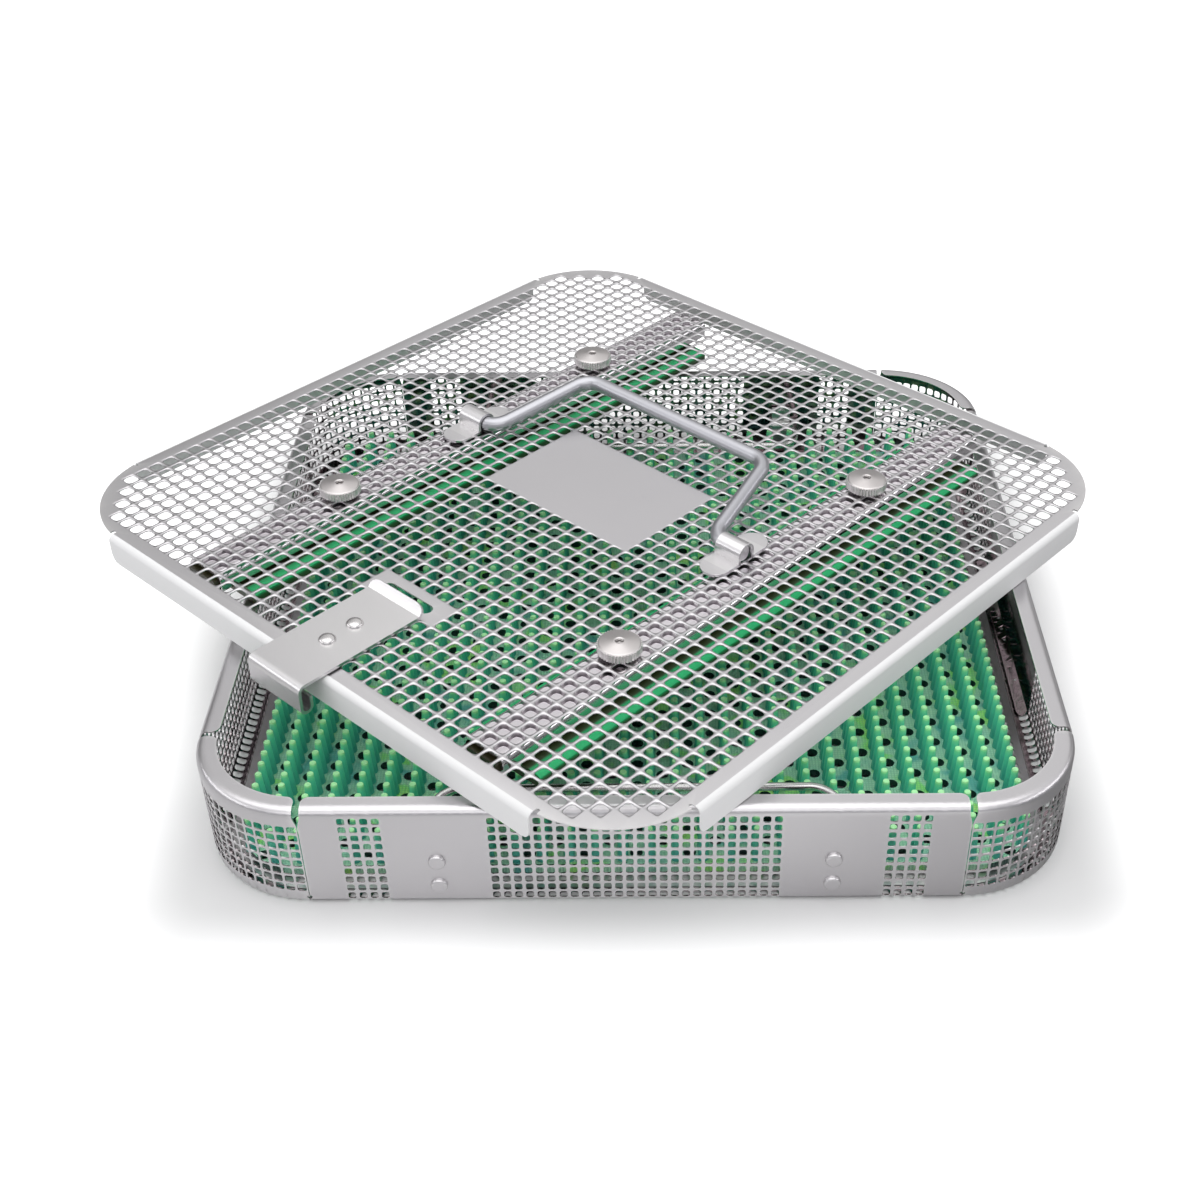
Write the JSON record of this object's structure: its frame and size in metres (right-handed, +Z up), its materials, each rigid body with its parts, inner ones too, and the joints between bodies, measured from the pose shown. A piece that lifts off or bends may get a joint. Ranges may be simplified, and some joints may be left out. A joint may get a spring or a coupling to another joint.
{
  "type": "perforated instrument basket",
  "caption": "Low square perforated steel basket with rounded corners, silicone finger mat, drop handles and a perforated lid with hold-down bars, handle and sliding latch.",
  "frame": {"origin": "centre of the basket's underside", "axes": "+X to the right along the front wall, +Y from the front wall to the back wall, +Z up; the lid lies turned and slightly tipped on the rim"},
  "size_m": [0.325, 0.325, 0.0601],
  "materials": {
    "satin_steel": "bead-blasted satin stainless sheet",
    "bright_steel": "bright stainless wire and turned parts",
    "green_silicone": "matte translucent green silicone"
  },
  "bodies": {
    "basket": {"basket_floor": "satin_steel", "wall_front": "satin_steel", "wall_back": "satin_steel", "wall_left": "satin_steel", "wall_right": "satin_steel", "corner_front_left": "satin_steel", "corner_front_right": "satin_steel", "corner_back_left": "satin_steel", "corner_back_right": "satin_steel", "bail_clip_front_a": "satin_steel", "bail_clip_front_b": "satin_steel", "bail_clip_back_a": "satin_steel", "bail_clip_back_b": "satin_steel", "rivet_front_a_low": "bright_steel", "rivet_front_a_top": "bright_steel", "rivet_front_b_low": "bright_steel", "rivet_front_b_top": "bright_steel", "rivet_back_a_low": "bright_steel", "rivet_back_a_top": "bright_steel", "rivet_back_b_low": "bright_steel", "rivet_back_b_top": "bright_steel", "finger_mat": "green_silicone"},
    "front_bail": {"bail_front": "bright_steel"},
    "back_bail": {"bail_back": "bright_steel"},
    "lid": {"lid_plate": "satin_steel", "handle_bracket_left": "satin_steel", "handle_bracket_right": "satin_steel", "hold_down_bar_left": "satin_steel", "hold_down_bar_right": "satin_steel", "silicone_strip_left": "green_silicone", "silicone_strip_right": "green_silicone", "bar_stud_left_near": "bright_steel", "bar_stud_left_far": "bright_steel", "bar_stud_right_near": "bright_steel", "bar_stud_right_far": "bright_steel"},
    "lid_handle": {"lid_handle": "bright_steel"},
    "latch": {"latch_plate": "satin_steel", "latch_rivet_outer": "bright_steel", "latch_rivet_inner": "bright_steel"},
    "nut_left_near": {"thumb_nut_left_near": "bright_steel"},
    "nut_left_far": {"thumb_nut_left_far": "bright_steel"},
    "nut_right_near": {"thumb_nut_right_near": "bright_steel"},
    "nut_right_far": {"thumb_nut_right_far": "bright_steel"}
  },
  "joints": [
    {"name": "front_bail_hinge", "type": "hinge", "parent": "basket", "child": "front_bail", "pos_m": [0, -0.1226, 0.0115], "axis": [1, 0, 0], "range_deg": [0, 32]},
    {"name": "back_bail_hinge", "type": "hinge", "parent": "basket", "child": "back_bail", "pos_m": [0, 0.1226, 0.0115], "axis": [-1, 0, 0], "range_deg": [0, 32]},
    {"name": "lid_lift", "type": "slide", "parent": "basket", "child": "lid", "axis": [0, 0, 1], "range_m": [0, 0.12]},
    {"name": "handle_hinge", "type": "hinge", "parent": "lid", "child": "lid_handle", "pos_m": [-0.01276, 0.01926, 0.0502], "axis": [0.7418, -0.6703, -0.0203], "range_deg": [-9, 165]},
    {"name": "latch_slide", "type": "slide", "parent": "lid", "child": "latch", "axis": [0.6704, 0.742, 0], "range_m": [0, 0.004]},
    {"name": "nut_left_near_turn", "type": "hinge", "parent": "lid", "child": "nut_left_near", "pos_m": [-0.09766, 0.01496, 0.05062], "axis": [0.0151, -0.0136, 0.9998], "continuous": true},
    {"name": "nut_left_far_turn", "type": "hinge", "parent": "lid", "child": "nut_left_far", "pos_m": [-0.01706, 0.10416, 0.05062], "axis": [0.0151, -0.0136, 0.9998], "continuous": true},
    {"name": "nut_right_near_turn", "type": "hinge", "parent": "lid", "child": "nut_right_near", "pos_m": [-0.0046, -0.06912, 0.04807], "axis": [0.0151, -0.0136, 0.9998], "continuous": true},
    {"name": "nut_right_far_turn", "type": "hinge", "parent": "lid", "child": "nut_right_far", "pos_m": [0.076, 0.02008, 0.04807], "axis": [0.0151, -0.0136, 0.9998], "continuous": true}
  ]
}
